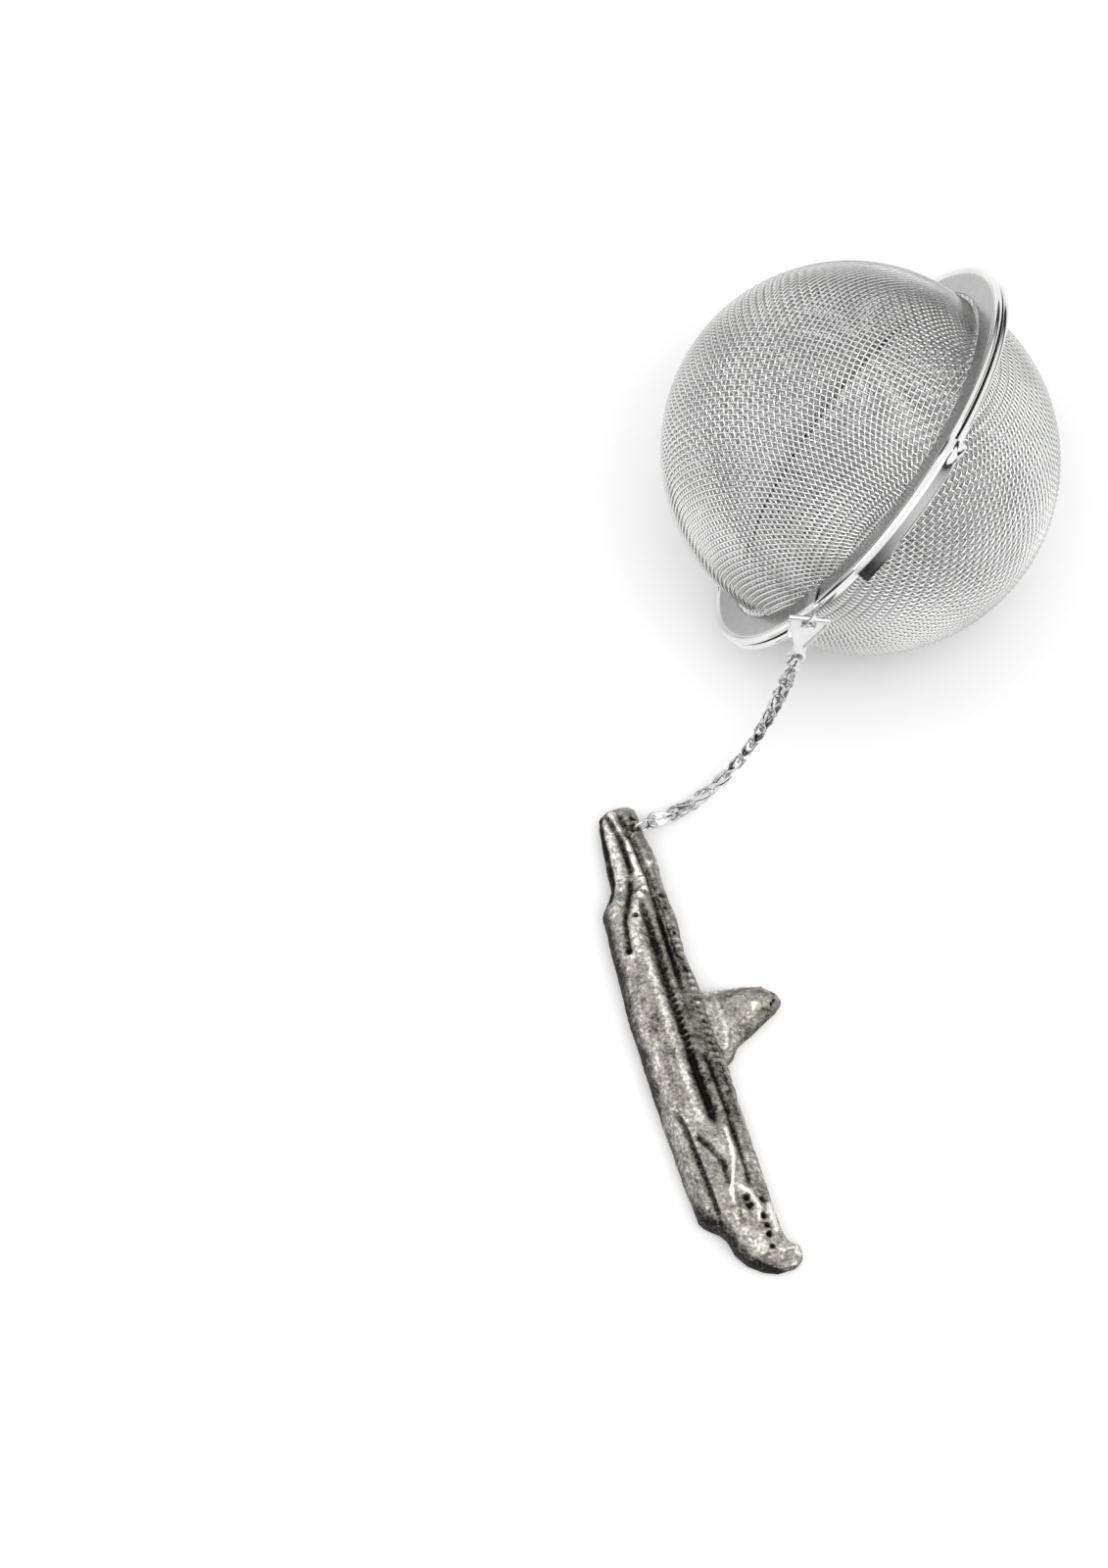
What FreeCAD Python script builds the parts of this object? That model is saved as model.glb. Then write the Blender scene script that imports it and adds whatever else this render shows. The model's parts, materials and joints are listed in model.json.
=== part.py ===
"""Twist-lock tea infuser: mesh ball, folded-link chain and a cast submarine charm.

Lengths are millimetres, angles degrees, +Z is up. The infuser lies on a table at z = 0:
the ball leans on its rim and its lower bowl, the chain hangs down to the charm, and the
charm lies on its flat back. The origin is the middle of the footprint, on the table.
"""
import FreeCAD, Part
import math
import os
from FreeCAD import Matrix, Vector

os.makedirs("parts", exist_ok=True)

# The ball as a whole: its axis runs up through the upper bowl.
ball_heading = 156.4
ball_lean = 31.1
ball_centre = Vector(0, 0, 22.865)

# Mesh bowls: a short straight wall, then a half sphere.
upper_bowl_radius = 21.8
upper_wall_height = 1.7
lower_bowl_radius = 22.4
lower_wall_height = 0.9
mesh_thickness = 0.4

# Rims: sheet folded round the flared edge of the mesh, with a round outer nose.
rim_radius = 26.0
rim_thickness = 0.8
rim_gap = 0.2
rim_inner_clearance = 0.5
upper_clamp_radius = 24.6
lower_clamp_radius = 24.0

# Locking lips on the upper rim and the cut-aways in the lower rim that let them pass.
# Angles are measured about the ball's axis from the rim's lowest point.
lip_foot_angle = 127.0
lip_hook_angle = 142.0
lip_end_angle = 169.0
lip_sheet = 0.25
lip_bend_radius = 1.18
lip_bend_centre = (25.27, -0.2)
lip_hook_radius = 24.7
cutaway_start_angle = 97.0
cutaway_radius = 24.4
bump_sizes = (0.42, 1.6, 0.6)
knob_sizes = (0.4, 0.75, 0.45)
bump_setback = 3.0
knob_setback = 0.5
lip_passage_angles = (-10, 6)

# Chain strap: folded over the upper rim, with a flat eye outside it.
strap_angle = 110.0
strap_width = 1.6
strap_sheet = 0.25
strap_inner_radius = 22.9
strap_eye_radius = 1.2
strap_eye_hole = 0.62
strap_eye_reach = 27.5
strap_top_end = 25.7
strap_tip_radius = 24.75
strap_bend_radii = (25.4, 25.85, 26.2, 26.45)
strap_clearance = 0.05

# Chain plate: a rolled top bar, a slot under it, a tapered sheet and a punched lower eye.
plate_length = 7.5
plate_half_width = 2.4
plate_neck_half_width = 0.8
plate_shoulder = 1.3
plate_shoulder_half_width = 2.2
plate_neck_start = 5.4
plate_bar_radius = 0.28
plate_sheet = 0.4
plate_eye_radius = 1.1
plate_hole_radius = 0.5
plate_slot = (1.55, 0.8)

# Chain links: a strip folded double at its waist, so that it has two ears.
link_count = 12
link_pitch = 2.82
link_sheet = 0.2
link_eye_radius = 0.95
link_eye_centre = 2.47
link_hole_radius = 0.45
link_waist_radius = 0.18
link_waist_half_width = 0.25
link_straddle = 0.43
link_ear_gap = 0.03
link_ear_bend = (1.3, 1.9)
link_facing = Vector(0, -0.454, 0.891)
chain_turns = (-10.0, 175.0)

# Charm ring between the last link and the charm.
ring_radius = 1.25
ring_wire_radius = 0.2

# Submarine charm: s runs from stern to bow, d from the keel side to the deck side.
charm_stern = Vector(-27.95, -34.34, 0)
charm_heading = -71.3
charm_edge_height = 1.3
charm_face_height = 4.8
charm_face_scale = 0.5
charm_middle_s = 31.0
charm_middle_d = -1.2
charm_middle_slope = -0.045
charm_end_shrink = 0.06
charm_hole = (3.9, 0.55)
charm_hole_radius = 0.75
charm_lug = (1.7, 2.7)
charm_recess = (4.5, 2.2, 2.3)
keel_side = [(-0.2, -0.6), (0.3, -2.3), (4.1, -3.5), (10.1, -4.4), (12.4, -6.1), (18.7, -7.0), (26.2, -7.8),
             (36.7, -8.2), (47.1, -8.5), (52.2, -8.3), (54.2, -6.5), (57.1, -5.9), (60.0, -4.1), (61.4, -1.8)]
deck_side = [(61.4, 0.4), (59.7, 1.7), (57.5, 1.1), (56.4, 0.0), (51.4, 0.3), (40.9, 0.5), (34.6, 1.2),
             (32.6, 2.9), (28.9, 9.8), (26.9, 8.6), (24.6, 2.1), (22.4, 1.4), (8.2, 1.9), (0.8, 1.7), (0.0, 0.9)]


def direction(heading, lean):
    """Unit vector with a heading from +X and a lean above the horizontal."""
    h = math.radians(heading)
    v = math.radians(lean)
    return Vector(math.cos(v) * math.cos(h), math.cos(v) * math.sin(h), math.sin(v))


def without(vector, axis):
    """The part of a vector that is perpendicular to a unit axis, as a unit vector."""
    return (vector - axis * vector.dot(axis)).normalize()


def placed(shape, origin, x_axis, z_axis):
    """A copy of a shape, moved from its own frame to a frame given by two of its axes."""
    y_axis = z_axis.cross(x_axis)
    frame = Matrix(x_axis.x, y_axis.x, z_axis.x, origin.x,
                   x_axis.y, y_axis.y, z_axis.y, origin.y,
                   x_axis.z, y_axis.z, z_axis.z, origin.z,
                   0, 0, 0, 1)
    return shape.transformed(frame, True)


def line(start, end):
    """Edge between two (radius, height) points in the XZ plane."""
    return Part.makeLine(Vector(start[0], 0, start[1]), Vector(end[0], 0, end[1]))


def arc(start, middle, end):
    """Arc through three (radius, height) points in the XZ plane."""
    points = [Vector(p[0], 0, p[1]) for p in (start, middle, end)]
    return Part.Arc(*points).toShape()


def polyline(points):
    """Edges that join (radius, height) points in turn."""
    return [line(a, b) for a, b in zip(points, points[1:])]


def turned(edges, start_angle=0.0, end_angle=360.0):
    """Solid swept by a closed XZ profile about Z between two angles."""
    face = Part.Face(Part.Wire(Part.__sortEdges__(edges)))
    solid = face.revolve(Vector(0, 0, 0), Vector(0, 0, 1), end_angle - start_angle)
    solid.rotate(Vector(0, 0, 0), Vector(0, 0, 1), start_angle)
    return solid


def box(low, high):
    """Box between two corners."""
    size = [b - a for a, b in zip(low, high)]
    return Part.makeBox(*size, Vector(*low))


def rod(radius, start, end):
    """Cylinder from one point to another."""
    axis = end - start
    return Part.makeCylinder(radius, axis.Length, start, axis)


def ellipsoid(sizes, angle, radius, height):
    """Ellipsoid on the rim: sizes are its radial, tangential and axial half lengths."""
    scale = Matrix(sizes[0], 0, 0, radius, 0, sizes[1], 0, 0, 0, 0, sizes[2], height, 0, 0, 0, 1)
    solid = Part.makeSphere(1.0).transformGeometry(scale)
    solid.rotate(Vector(0, 0, 0), Vector(0, 0, 1), angle)
    return solid


def both_sides(solid):
    """A solid and its copy half a turn on about Z, as one shape."""
    opposite = solid.copy()
    opposite.rotate(Vector(0, 0, 0), Vector(0, 0, 1), 180)
    return solid.fuse(opposite)


def mirrored(solid):
    """A solid mirrored through the rim plane, for the lower half."""
    return solid.mirror(Vector(0, 0, 0), Vector(0, 0, 1))


# Heights of the faces of an upper rim above the plane where the two halves meet.
rim_bottom = rim_gap / 2
rim_top = rim_bottom + rim_thickness
clamp_bottom = rim_bottom + (rim_thickness - mesh_thickness) / 2
clamp_top = clamp_bottom + mesh_thickness


def mesh_bowl(radius, wall_height, clamp_radius):
    """Bowl shell with its edge flared out to be clamped, for the upper half."""
    inner = radius - mesh_thickness
    half = math.sqrt(0.5)
    edges = polyline([(inner, wall_height), (inner, clamp_bottom), (clamp_radius, clamp_bottom),
                      (clamp_radius, clamp_top), (radius, clamp_top), (radius, wall_height)])
    edges.append(arc((radius, wall_height), (radius * half, wall_height + radius * half),
                     (0, wall_height + radius)))
    edges.append(line((0, wall_height + radius), (0, wall_height + inner)))
    edges.append(arc((0, wall_height + inner), (inner * half, wall_height + inner * half),
                     (inner, wall_height)))
    return turned(edges)


def folded_rim(bowl_radius, clamp_radius):
    """Rim with a groove inside that holds the flared mesh, for the upper half."""
    inner = bowl_radius + rim_inner_clearance
    nose = rim_radius - rim_thickness / 2
    middle = (rim_bottom + rim_top) / 2
    edges = polyline([(nose, rim_top), (inner, rim_top), (inner, clamp_top), (clamp_radius, clamp_top),
                      (clamp_radius, clamp_bottom), (inner, clamp_bottom), (inner, rim_bottom),
                      (nose, rim_bottom)])
    edges.append(arc((nose, rim_bottom), (rim_radius, middle), (nose, rim_top)))
    return turned(edges)


def on_bend(radius, height):
    """Point of an arc about the lip's bend centre, outside it, at a height."""
    reach = math.sqrt(radius ** 2 - (height - lip_bend_centre[1]) ** 2)
    return (lip_bend_centre[0] + reach, height)


def lip_profile(hooked):
    """Section of a locking lip: a rounded wall, hooked inwards or straight down below."""
    centre_r, centre_z = lip_bend_centre
    inner_radius = lip_bend_radius - lip_sheet
    top = on_bend(lip_bend_radius, rim_top)
    inside = on_bend(inner_radius, rim_bottom)
    outer_side = (centre_r + lip_bend_radius, centre_z)
    inner_side = (centre_r + inner_radius, centre_z)
    outer_foot = (centre_r, centre_z - lip_bend_radius)
    inner_foot = (centre_r, centre_z - inner_radius)
    root = rim_radius - rim_thickness / 2
    edges = polyline([inside, (root, clamp_bottom), (root, rim_top), top])
    edges.append(arc(top, on_bend(lip_bend_radius, rim_bottom), outer_side))
    edges.append(line(inner_side, inside))
    if hooked:
        slope = math.sqrt(0.5)
        edges.append(arc(outer_side, (centre_r + lip_bend_radius * slope, centre_z - lip_bend_radius * slope),
                         outer_foot))
        edges += polyline([outer_foot, (lip_hook_radius, outer_foot[1]), (lip_hook_radius, inner_foot[1]),
                           inner_foot])
        edges.append(arc(inner_foot, (centre_r + inner_radius * slope, centre_z - inner_radius * slope),
                         inner_side))
    else:
        edges += polyline([outer_side, (outer_side[0], outer_foot[1]), (inner_side[0], outer_foot[1]),
                           inner_side])
    return edges


def lip():
    """One locking lip, with the bump and the flared knob at the end where the rim enters."""
    centre_r, centre_z = lip_bend_centre
    inner_radius = lip_bend_radius - lip_sheet
    wall = centre_r + inner_radius
    inner_foot = centre_z - inner_radius
    skirt = turned(lip_profile(False), lip_foot_angle, lip_hook_angle)
    hook = turned(lip_profile(True), lip_hook_angle, lip_end_angle)
    bump = ellipsoid(bump_sizes, lip_end_angle - bump_setback, wall - 0.05, rim_top / 2)
    knob = ellipsoid(knob_sizes, lip_end_angle - knob_setback, wall - 0.1, inner_foot + 0.1)
    slope = math.sqrt(0.5)
    passage = polyline([(wall, centre_z), (wall, rim_bottom), (cutaway_radius, rim_bottom),
                        (cutaway_radius, inner_foot), (centre_r, inner_foot)])
    passage.append(arc((centre_r, inner_foot), (centre_r + inner_radius * slope, centre_z - inner_radius * slope),
                       (wall, centre_z)))
    room = turned(passage, lip_end_angle + lip_passage_angles[0], lip_end_angle + lip_passage_angles[1])
    return skirt.fuse([hook, bump.fuse(knob).cut(room)])


def strap_blank():
    """Strap on the rim at angle 0, before it is cut to fit round the rim."""
    half = strap_width / 2
    tip = strap_tip_radius
    inner_bend, top_bend, neck_start, outer_bend = strap_bend_radii
    eye_low = (rim_bottom + rim_top) / 2 - strap_sheet
    eye_high = eye_low + 2 * strap_sheet
    top = rim_top + strap_sheet
    tip_top = rim_bottom + strap_sheet
    top_leg = box((strap_inner_radius, -half, rim_top), (strap_top_end, half, top))
    fold = [(inner_bend, top), (top_bend, top), (outer_bend, eye_high), (outer_bend, eye_low),
            (neck_start, rim_bottom), (tip, rim_bottom), (tip, tip_top), (inner_bend, tip_top), (inner_bend, top)]
    face = Part.Face(Part.Wire(polyline(fold)))
    wrap = face.extrude(Vector(0, strap_width, 0))
    wrap.translate(Vector(0, -half, 0))
    neck = box((neck_start, -half, eye_low), (strap_eye_reach, half, eye_high))
    eye = rod(strap_eye_radius, Vector(strap_eye_reach, 0, eye_low), Vector(strap_eye_reach, 0, eye_high))
    hole = rod(strap_eye_hole, Vector(strap_eye_reach, 0, -1), Vector(strap_eye_reach, 0, 2))
    return top_leg.fuse([wrap, neck, eye]).cut(hole)


def upper_half():
    """Nodes of the upper half, in the ball's own frame."""
    bowl = mesh_bowl(upper_bowl_radius, upper_wall_height, upper_clamp_radius)
    rim = folded_rim(upper_bowl_radius, upper_clamp_radius).fuse(both_sides(lip()))
    pocket_half = strap_width / 2 + strap_clearance
    pocket = box((strap_tip_radius - strap_clearance, -pocket_half, 0),
                 (rim_radius + 1, pocket_half, rim_bottom + strap_sheet + strap_clearance))
    strap = strap_blank()
    for solid in (pocket, strap):
        solid.rotate(Vector(0, 0, 0), Vector(0, 0, 1), strap_angle)
    rim = rim.cut(pocket).removeSplitter()
    return {"upper_mesh_bowl": bowl, "upper_rim_flange": rim, "chain_strap": strap.cut(rim)}


def lower_half():
    """Nodes of the lower half, in the ball's own frame."""
    bowl = mesh_bowl(lower_bowl_radius, lower_wall_height, lower_clamp_radius)
    rim = folded_rim(lower_bowl_radius, lower_clamp_radius)
    section = polyline([(cutaway_radius, -1), (rim_radius + 1, -1), (rim_radius + 1, 2), (cutaway_radius, 2),
                        (cutaway_radius, -1)])
    gap = turned(section, cutaway_start_angle, lip_foot_angle)
    rim = rim.cut(both_sides(gap))
    return {"lower_mesh_bowl": mirrored(bowl), "lower_rim_flange": mirrored(rim)}


def chain_plate():
    """Plate with its top bar along Y at the origin and its lower eye along +X."""
    upper_edge = [(0, plate_half_width), (plate_shoulder, plate_shoulder_half_width),
                  (plate_neck_start, plate_neck_half_width), (plate_length, plate_neck_half_width)]
    lower_edge = [(x, -y) for x, y in reversed(upper_edge)]
    low = -plate_sheet / 2
    wire = Part.makePolygon([Vector(x, y, low) for x, y in upper_edge + lower_edge + upper_edge[:1]])
    sheet = Part.Face(wire).extrude(Vector(0, 0, plate_sheet))
    eye = rod(plate_eye_radius, Vector(plate_length, 0, low), Vector(plate_length, 0, -low))
    hole = rod(plate_hole_radius, Vector(plate_length, 0, -1), Vector(plate_length, 0, 1))
    slot_end, slot_half = plate_slot
    slot = box((-1, -slot_half, -1), (slot_end, slot_half, 1))
    bar = rod(plate_bar_radius, Vector(0, -plate_half_width, 0), Vector(0, plate_half_width, 0))
    return sheet.fuse(eye).cut(hole.fuse(slot)).fuse(bar)


def chain_link():
    """Link with its waist on Z at the origin and its eye along +X."""
    angle = math.acos((link_eye_radius - link_waist_half_width) / link_eye_centre)
    tangent_x = link_eye_centre - link_eye_radius * math.cos(angle)
    tangent_y = link_eye_radius * math.sin(angle)
    waist_x = -link_waist_half_width
    far = Vector(link_eye_centre + link_eye_radius, 0, -1)
    top = Vector(tangent_x, tangent_y, -1)
    bottom = Vector(tangent_x, -tangent_y, -1)
    waist_top = Vector(waist_x, link_waist_half_width, -1)
    waist_bottom = Vector(waist_x, -link_waist_half_width, -1)
    outline = [Part.Arc(top, far, bottom).toShape(), Part.makeLine(bottom, waist_bottom),
               Part.makeLine(waist_bottom, waist_top), Part.makeLine(waist_top, top)]
    teardrop = Part.Face(Part.Wire(outline)).extrude(Vector(0, 0, 2))
    end_x = link_eye_centre + link_eye_radius + 1
    bend_start, bend_end = link_ear_bend
    inner = [(waist_x, link_straddle), (bend_start, link_straddle), (bend_end, link_ear_gap),
             (end_x, link_ear_gap)]
    outer = [(x, z + link_sheet) for x, z in reversed(inner)]
    section = Part.Face(Part.Wire(polyline(inner + outer + inner[:1])))
    ear = section.extrude(Vector(0, 2, 0))
    ear.translate(Vector(0, -1, 0))
    ear = ear.common(teardrop)
    other_ear = ear.mirror(Vector(0, 0, 0), Vector(0, 0, 1))
    reach = link_straddle + link_sheet / 2
    waist = rod(link_waist_radius, Vector(0, 0, -reach), Vector(0, 0, reach))
    hole = rod(link_hole_radius, Vector(link_pitch, 0, -1), Vector(link_pitch, 0, 1))
    return ear.fuse([other_ear, waist]).cut(hole)


def charm_ring():
    """Ring in the XZ plane, from the charm's hole at the origin towards +X."""
    ring = Part.makeTorus(ring_radius, ring_wire_radius, Vector(0, 0, 0), Vector(0, 1, 0))
    ring.translate(Vector(ring_radius, 0, 0))
    return ring


def charm_section(points, height, scale):
    """Closed wire of the charm's outline at a height, drawn in towards its middle line."""
    shrink = 1 - charm_end_shrink * (1 - scale) / (1 - charm_face_scale)
    corners = []
    for s, d in points:
        middle_d = charm_middle_d + charm_middle_slope * s
        corners.append(Vector(charm_middle_s + (s - charm_middle_s) * shrink, middle_d + (d - middle_d) * scale,
                              height))
    return Part.makePolygon(corners + corners[:1])


def submarine_charm():
    """Charm with its stern at the origin, its bow along +X and its deck side towards +Y."""
    outline = keel_side + deck_side
    foot = Part.Face(charm_section(outline, 0, 1)).extrude(Vector(0, 0, charm_edge_height))
    crown = Part.makeLoft([charm_section(outline, charm_edge_height, 1),
                           charm_section(outline, charm_face_height, charm_face_scale)], True, True)
    hole = rod(charm_hole_radius, Vector(*charm_hole, -1), Vector(*charm_hole, 9))
    recess_s, recess_d, recess_radius = charm_recess
    below = rod(recess_radius, Vector(recess_s, recess_d, -1), Vector(recess_s, recess_d, charm_lug[0]))
    above = rod(recess_radius, Vector(recess_s, recess_d, charm_lug[1]), Vector(recess_s, recess_d, 9))
    return foot.fuse(crown).cut(hole.fuse([below, above]))


def catenary(start, end, length):
    """Function from a length along a hanging line to its point between two ends."""
    span = math.hypot(end.x - start.x, end.y - start.y)
    drop = start.z - end.z
    target = math.sqrt(length ** 2 - drop ** 2) / span
    low, high = 0.01, 10.0
    for _ in range(60):
        half = (low + high) / 2
        if math.sinh(half) / half < target:
            low = half
        else:
            high = half
    scale = span / (2 * half)
    first = half + math.atanh(drop / length)
    across = Vector(end.x - start.x, end.y - start.y, 0) * (1 / span)

    def point(distance):
        here = math.asinh(math.sinh(first) - distance / scale)
        fall = scale * (math.cosh(first) - math.cosh(here))
        return start + across * (scale * (first - here)) - Vector(0, 0, fall)

    return point


# The ball's frame.
ball_axis = direction(ball_heading, ball_lean)
ball_low = without(Vector(0, 0, -1), ball_axis)
nodes = {}
for name, solid in {**upper_half(), **lower_half()}.items():
    nodes[name] = placed(solid, ball_centre, ball_low, ball_axis)

# The strap's eye, where the chain begins.
ball_side = ball_axis.cross(ball_low)
strap_way = ball_low * math.cos(math.radians(strap_angle)) + ball_side * math.sin(math.radians(strap_angle))
strap_eye = ball_centre + strap_way * strap_eye_reach + ball_axis * ((rim_bottom + rim_top) / 2)

# The charm's frame and the ring in its hole.
charm_way = direction(charm_heading, 0)
charm_deck_way = Vector(0, 0, 1).cross(charm_way)
charm_eye = charm_stern + charm_way * charm_hole[0] + charm_deck_way * charm_hole[1]
charm_eye += Vector(0, 0, sum(charm_lug) / 2)
ring_way = without(strap_eye - charm_eye, Vector(0, 0, 1))
chain_end = charm_eye + ring_way * (2 * ring_radius)
nodes["submarine_charm"] = placed(submarine_charm(), charm_stern, charm_way, Vector(0, 0, 1))
nodes["charm_ring"] = placed(charm_ring(), charm_eye, ring_way, Vector(0, 0, 1))

# The chain's pivots lie on a hanging line, and each piece points from its own to the next.
route = catenary(strap_eye, chain_end, plate_length + link_count * link_pitch)
pivots = [strap_eye] + [route(plate_length + link_pitch * i) for i in range(link_count + 1)]
ways = [(b - a).normalize() for a, b in zip(pivots, pivots[1:])]
plate_across = without(Vector(1, 0, 0), ways[0])
plate_facing = ways[0].cross(plate_across)
nodes["chain_plate"] = placed(chain_plate(), pivots[0], ways[0], plate_facing)
link_axes = []
for i in range(link_count):
    way = ways[i + 1]
    turn = math.radians(chain_turns[0] + (chain_turns[1] - chain_turns[0]) * i / (link_count - 1))
    facing = without(link_facing, way)
    axis = facing * math.cos(turn) + way.cross(facing) * math.sin(turn)
    link_axes.append(axis)
    nodes["chain_link_%02d" % (i + 1)] = placed(chain_link(), pivots[i + 1], way, axis)

# The origin: the middle of the whole footprint, at the table.
whole = Part.makeCompound(list(nodes.values())).optimalBoundingBox(False, False)
origin = Vector((whole.XMin + whole.XMax) / 2, (whole.YMin + whole.YMax) / 2, whole.ZMin)
for name, solid in nodes.items():
    solid.translate(origin * -1)
    solid.exportStep("parts/%s.step" % name)
print("size %.2f x %.2f x %.2f" % (whole.XLength, whole.YLength, whole.ZLength))
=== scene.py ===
"""Looks of the twist-lock tea infuser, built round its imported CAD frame.

The shape functions work in millimetres, and mesh_piece() turns them into metres. The ball,
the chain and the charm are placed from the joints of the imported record.
"""

import json
import math

import bpy
import numpy as np
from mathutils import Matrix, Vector, noise


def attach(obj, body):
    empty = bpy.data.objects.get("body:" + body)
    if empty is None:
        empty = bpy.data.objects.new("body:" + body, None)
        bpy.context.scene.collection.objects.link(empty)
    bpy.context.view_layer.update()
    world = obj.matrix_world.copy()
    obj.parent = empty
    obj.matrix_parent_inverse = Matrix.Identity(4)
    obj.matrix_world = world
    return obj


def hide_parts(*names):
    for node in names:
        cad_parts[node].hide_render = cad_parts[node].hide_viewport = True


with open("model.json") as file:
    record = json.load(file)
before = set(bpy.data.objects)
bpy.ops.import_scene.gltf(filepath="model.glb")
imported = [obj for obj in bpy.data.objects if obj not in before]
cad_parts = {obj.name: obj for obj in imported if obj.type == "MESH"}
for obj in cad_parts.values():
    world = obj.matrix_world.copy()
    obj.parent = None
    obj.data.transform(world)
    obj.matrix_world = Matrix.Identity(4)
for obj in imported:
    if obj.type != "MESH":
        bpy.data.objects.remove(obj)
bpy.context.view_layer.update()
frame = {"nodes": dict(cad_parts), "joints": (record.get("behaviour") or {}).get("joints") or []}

MM = 0.001
UP = np.array([0.0, 0.0, 1.0])


# ---------------------------------------------------------------- places, from the frame

def unit(vector):
    """A vector at length 1."""
    vector = np.asarray(vector, float)
    return vector / np.linalg.norm(vector)


def square_to(vector, axis):
    """The part of a vector that is square to a unit axis, as a unit vector."""
    return unit(vector - axis * np.dot(vector, axis))


joints = {j["name"]: j for j in frame["joints"]}
link_count = sum(name.startswith("link_") for name in joints)


def pivot(name):
    """A joint's place in millimetres."""
    return np.array(joints[name]["pos_m"]) / MM


def hinge(name):
    """A joint's axis."""
    return unit(joints[name]["axis"])


class Place:
    """A frame of an origin, an x axis and a z axis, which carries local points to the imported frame."""

    def __init__(self, origin, x_axis, z_axis):
        self.origin = np.asarray(origin, float)
        self.axes = np.array([x_axis, np.cross(z_axis, x_axis), z_axis])

    def out(self, points):
        """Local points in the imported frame."""
        return np.asarray(points, float) @ self.axes + self.origin

    def back(self, points):
        """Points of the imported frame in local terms."""
        return (np.asarray(points, float) - self.origin) @ self.axes.T


ball_axis = hinge("lock_twist")
ball = Place(pivot("lock_twist"), square_to(-UP, ball_axis), ball_axis)
# the charm's heading on the table, and its hole as a distance from the stern and towards the deck
charm_heading = math.radians(-71.3)
charm_hole = (3.9, 0.55)
charm_way = np.array([math.cos(charm_heading), math.sin(charm_heading), 0.0])
charm_deck_way = np.cross(UP, charm_way)
charm_eye = pivot("charm_swing")
charm_stern = charm_eye - charm_way * charm_hole[0] - charm_deck_way * charm_hole[1]
charm_stern[2] = 0.0
charm = Place(charm_stern, charm_way, UP)
ring_end = pivot("ring_swing")
link_pivots = [pivot("link_%02d_swing" % (i + 1)) for i in range(link_count)]
chain_pivots = [pivot("plate_swing"), *link_pivots, ring_end]


# ---------------------------------------------------------------- mesh helpers

def mesh_piece(name, points, faces, material, body, slot, *nodes, sharp=None):
    """An object from millimetre points, smooth shaded, which rides on a body.

    Nothing goes below the table. A sharp angle in degrees keeps the edges above it crisp.
    """
    points = np.array(points, float)
    points[:, 2] = np.maximum(points[:, 2], 0.0)
    mesh = bpy.data.meshes.new(name)
    mesh.from_pydata((points * MM).tolist(), [], faces)
    mesh.polygons.foreach_set("use_smooth", [True] * len(mesh.polygons))
    if sharp:
        mesh.set_sharp_from_angle(angle=math.radians(sharp))
    mesh.materials.append(material)
    piece = bpy.data.objects.new(name, mesh)
    bpy.context.scene.collection.objects.link(piece)
    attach(piece, body)
    if nodes:
        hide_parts(*nodes)
    return piece


def grid_faces(rows, columns, wrap_rows=False, wrap_columns=False, flip=False):
    """Quads of a rows by columns grid of points, closed round on either way if asked."""
    faces = []
    for i in range(rows if wrap_rows else rows - 1):
        for j in range(columns if wrap_columns else columns - 1):
            a, b = i * columns + j, i * columns + (j + 1) % columns
            k = (i + 1) % rows
            c, d = k * columns + (j + 1) % columns, k * columns + j
            quad = (a, b, c, d)
            faces.append(quad[::-1] if flip else quad)
    return faces


def point_layer(piece, name, values):
    """A number for each point of a piece, which its material reads by name."""
    layer = piece.data.attributes.new(name, "FLOAT", "POINT")
    layer.data.foreach_set("value", values.astype(np.float32))


class Builder:
    """Gathers points and faces of several shapes for one mesh."""

    def __init__(self):
        self.points, self.faces, self.count = [], [], 0

    def add(self, points, faces):
        """Takes in one shape, with its faces numbered on from the points before."""
        self.points.append(np.asarray(points, float))
        self.faces += [tuple(i + self.count for i in face) for face in faces]
        self.count += len(points)

    def tube(self, path, normals, radius, sides=6, closed=False):
        """Round tube along a path, with the section's first point along the normals."""
        path = np.asarray(path, float)
        if closed:
            along = np.roll(path, -1, axis=0) - np.roll(path, 1, axis=0)
        else:
            along = np.gradient(path, axis=0)
        along /= np.linalg.norm(along, axis=1)[:, None]
        side = np.cross(along, normals)
        side /= np.linalg.norm(side, axis=1)[:, None]
        up = np.cross(side, along)
        radius = np.broadcast_to(radius, len(path))[:, None, None]
        angles = np.arange(sides) * (2 * math.pi / sides)
        cosines, sines = np.cos(angles)[None, :, None], np.sin(angles)[None, :, None]
        ring = up[:, None, :] * cosines + side[:, None, :] * sines
        points = path[:, None, :] + ring * radius
        faces = grid_faces(len(path), sides, wrap_rows=closed, wrap_columns=True)
        if not closed:
            last = (len(path) - 1) * sides
            faces.append(tuple(range(sides))[::-1])
            faces.append(tuple(range(last, last + sides)))
        self.add(points.reshape(-1, 3), faces)


def arc_points(centre, radius, start, end, count):
    """Points of an arc, with angles in degrees."""
    angles = np.radians(np.linspace(start, end, count))
    return [(centre[0] + radius * math.cos(a), centre[1] + radius * math.sin(a)) for a in angles]


def smoothstep(low, high, value):
    """A smooth rise from 0 at low to 1 at high."""
    t = np.clip((np.asarray(value, float) - low) / (high - low), 0, 1)
    return t * t * (3 - 2 * t)


# ---------------------------------------------------------------- materials

def new_material(name):
    """A material, its Principled node, and functions that add and join nodes."""
    material = bpy.data.materials.new(name)
    material.use_nodes = True
    tree = material.node_tree
    shader = tree.nodes["Principled BSDF"]

    def node(kind, **settings):
        made = tree.nodes.new(kind)
        for key, value in settings.items():
            if key in made.inputs:
                made.inputs[key].default_value = value
            else:
                setattr(made, key, value)
        return made

    return material, shader, node, tree.links.new


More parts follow.
